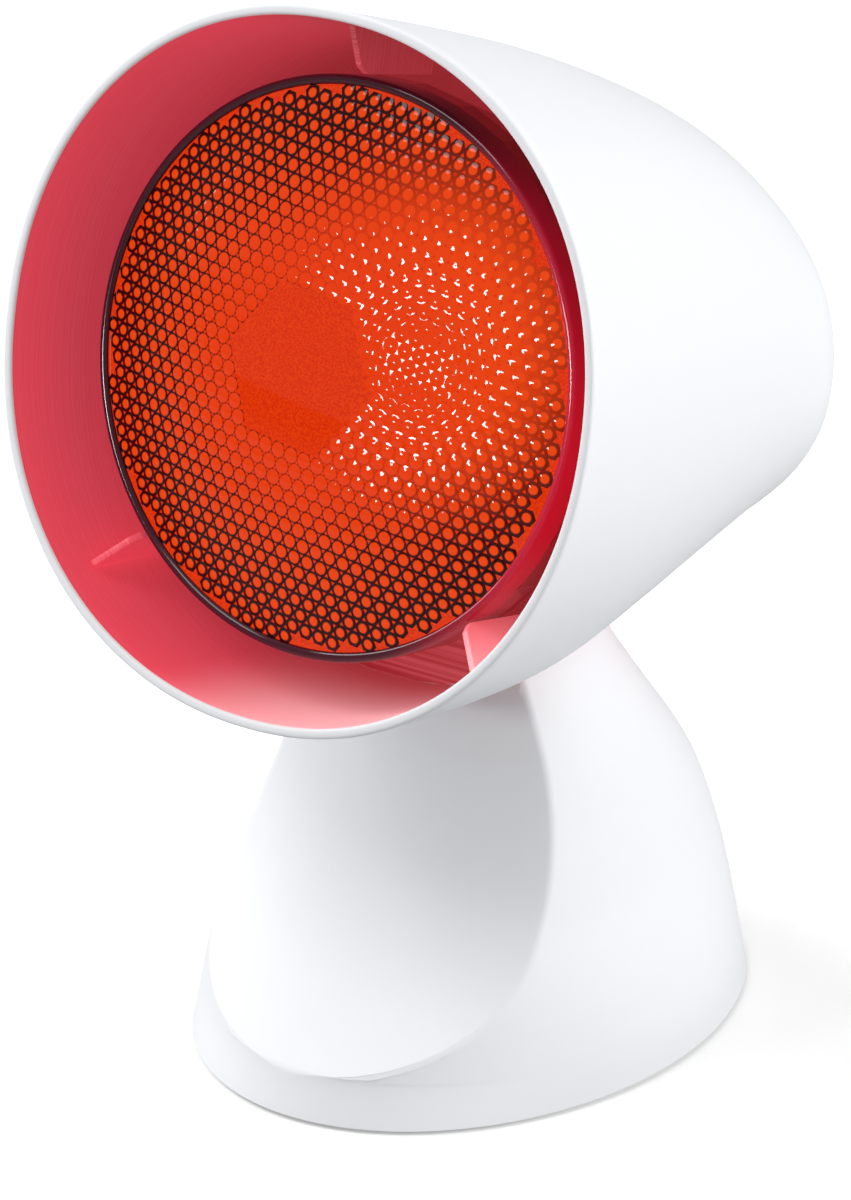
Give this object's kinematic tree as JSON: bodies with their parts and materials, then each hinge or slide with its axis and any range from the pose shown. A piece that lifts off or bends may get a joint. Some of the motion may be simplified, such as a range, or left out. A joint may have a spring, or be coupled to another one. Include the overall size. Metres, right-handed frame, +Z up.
{
  "type": "infrared heat lamp",
  "caption": "Table-top infrared heat lamp: a tapering moulded shade with a pressed-glass reflector bulb tilts in clicks on an oval, scooped stand.",
  "frame": {"origin": "on the floor under the middle of the lamp's length and width at rest", "axes": "+Z up, the lamp faces -Y, +X is the lamp's left side as it faces the viewer's right"},
  "size_m": [0.1496, 0.1876, 0.2421],
  "materials": {
    "white_plastic": "white moulded plastic with a soft satin sheen",
    "inner_plastic": "off-white matte plastic",
    "grey_plastic": "dark grey matte plastic",
    "black_plastic": "black satin plastic",
    "foot_rubber": "black rubber",
    "red_glass": "red pressed glass, lit from inside, with a dimpled front",
    "silvered_glass": "glass bell silvered inside, with a red cast",
    "cap_metal": "plain cap metal",
    "steel": "zinc-plated steel",
    "tungsten": "dull grey filament wire",
    "ceramic": "off-white glazed ceramic"
  },
  "bodies": {
    "stand": {"stand_shell": "white_plastic", "base_plate": "grey_plastic", "foot_front_left": "foot_rubber", "foot_front_right": "foot_rubber", "foot_rear_left": "foot_rubber", "foot_rear_right": "foot_rubber", "plate_screw_1": "steel", "plate_screw_2": "steel", "plate_screw_3": "steel", "plate_screw_4": "steel", "hinge_seat": "grey_plastic", "seat_screw_front": "steel", "seat_screw_rear": "steel", "click_leaf": "steel", "switch_housing": "black_plastic", "cable_gland": "foot_rubber", "cord_clamp": "grey_plastic", "terminal_block": "inner_plastic"},
    "head": {"shade_shell": "white_plastic", "tilt_cradle": "inner_plastic", "hinge_pin": "steel", "pin_clip_left": "steel", "pin_clip_right": "steel", "click_disc": "grey_plastic", "bulb_face": "red_glass", "bulb_bell": "silvered_glass", "bulb_cap": "cap_metal", "bulb_tip": "cap_metal", "filament": "tungsten", "filament_post_left": "steel", "filament_post_right": "steel", "lamp_holder": "ceramic", "centre_contact": "cap_metal", "holder_bracket": "steel", "bracket_screw_left": "steel", "bracket_screw_right": "steel"},
    "rocker": {"switch_rocker": "black_plastic"}
  },
  "joints": [
    {"name": "head_tilt", "type": "hinge", "parent": "stand", "child": "head", "pos_m": [0, -0.00672, 0.101], "axis": [1, 0, 0], "range_deg": [-30, 10]},
    {"name": "switch_rock", "type": "hinge", "parent": "stand", "child": "rocker", "pos_m": [0, 0.05707, 0.03194], "axis": [1, 0, 0], "range_deg": [-18, 0]}
  ]
}
